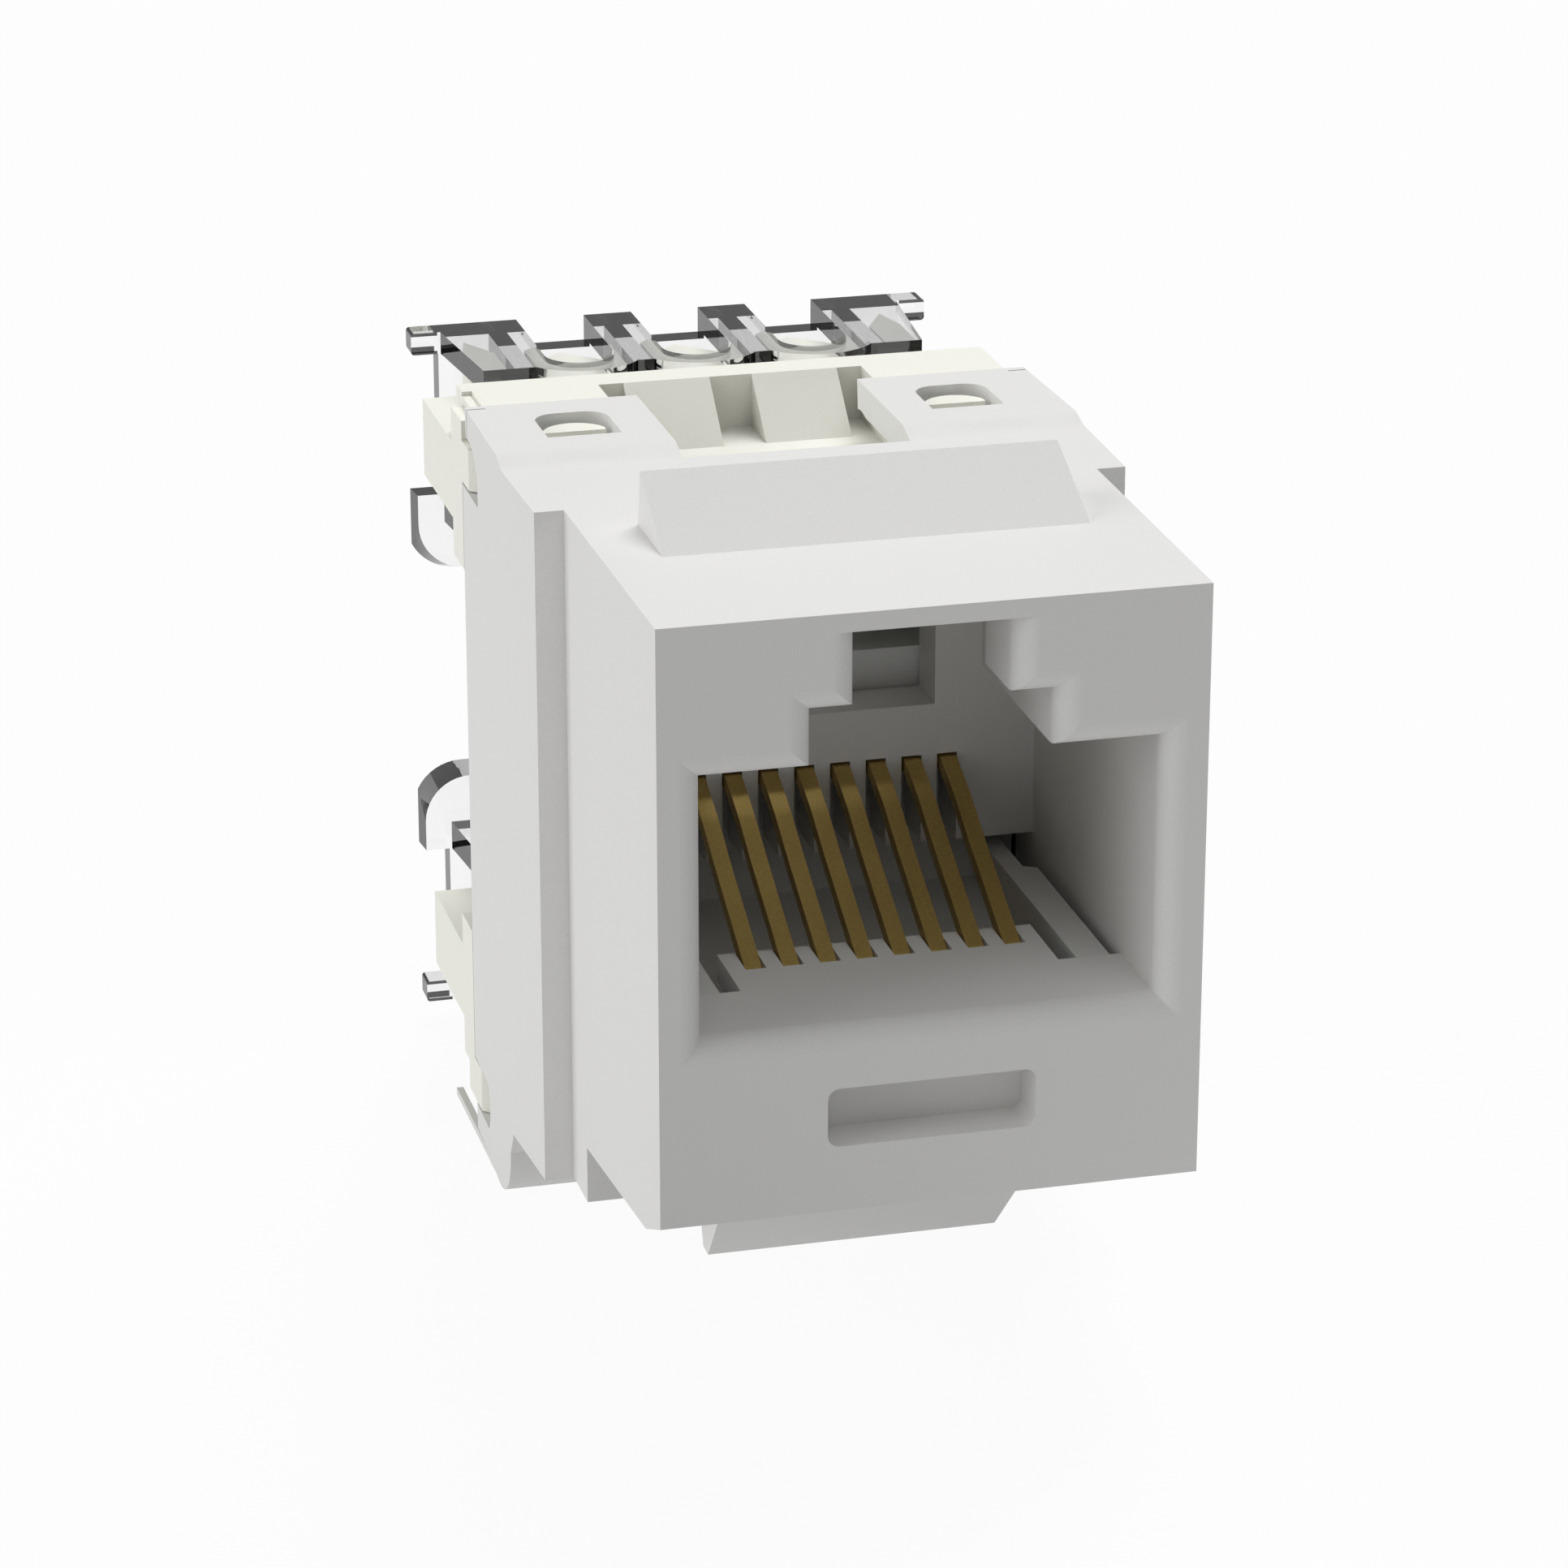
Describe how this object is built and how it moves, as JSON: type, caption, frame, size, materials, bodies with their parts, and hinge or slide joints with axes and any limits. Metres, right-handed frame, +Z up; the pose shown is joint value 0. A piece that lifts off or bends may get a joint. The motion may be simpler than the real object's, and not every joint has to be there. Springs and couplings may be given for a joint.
{
  "type": "keystone jack",
  "caption": "Snap-in network jack with a plug port in front, wire towers with clear caps behind, a fixed lug on top and a moulded spring latch below.",
  "frame": {"origin": "middle of the front face, in the mouth of the plug port", "axes": "+X to the right seen from the front, +Y towards the rear, +Z up; the plug enters along +Y"},
  "size_m": [0.0164, 0.0297, 0.0236],
  "materials": {
    "white_plastic": "satin moulded",
    "carrier_plastic": "satin moulded",
    "ivory_plastic": "satin moulded",
    "clear_plastic": "polished moulded",
    "gilt_wire": "gilt",
    "tinned_blade": "tinned",
    "board": "solder mask"
  },
  "bodies": {
    "root": {"housing": "white_plastic", "contact_carrier": "carrier_plastic", "circuit_board": "board", "tower_block": "ivory_plastic", "plug_contact_1": "gilt_wire", "plug_contact_2": "gilt_wire", "plug_contact_3": "gilt_wire", "plug_contact_4": "gilt_wire", "plug_contact_5": "gilt_wire", "plug_contact_6": "gilt_wire", "plug_contact_7": "gilt_wire", "plug_contact_8": "gilt_wire", "wire_contact_1": "tinned_blade", "wire_contact_2": "tinned_blade", "wire_contact_3": "tinned_blade", "wire_contact_4": "tinned_blade", "wire_contact_5": "tinned_blade", "wire_contact_6": "tinned_blade", "wire_contact_7": "tinned_blade", "wire_contact_8": "tinned_blade", "upper_wire_cap": "clear_plastic", "lower_wire_cap": "clear_plastic"}
  },
  "joints": []
}
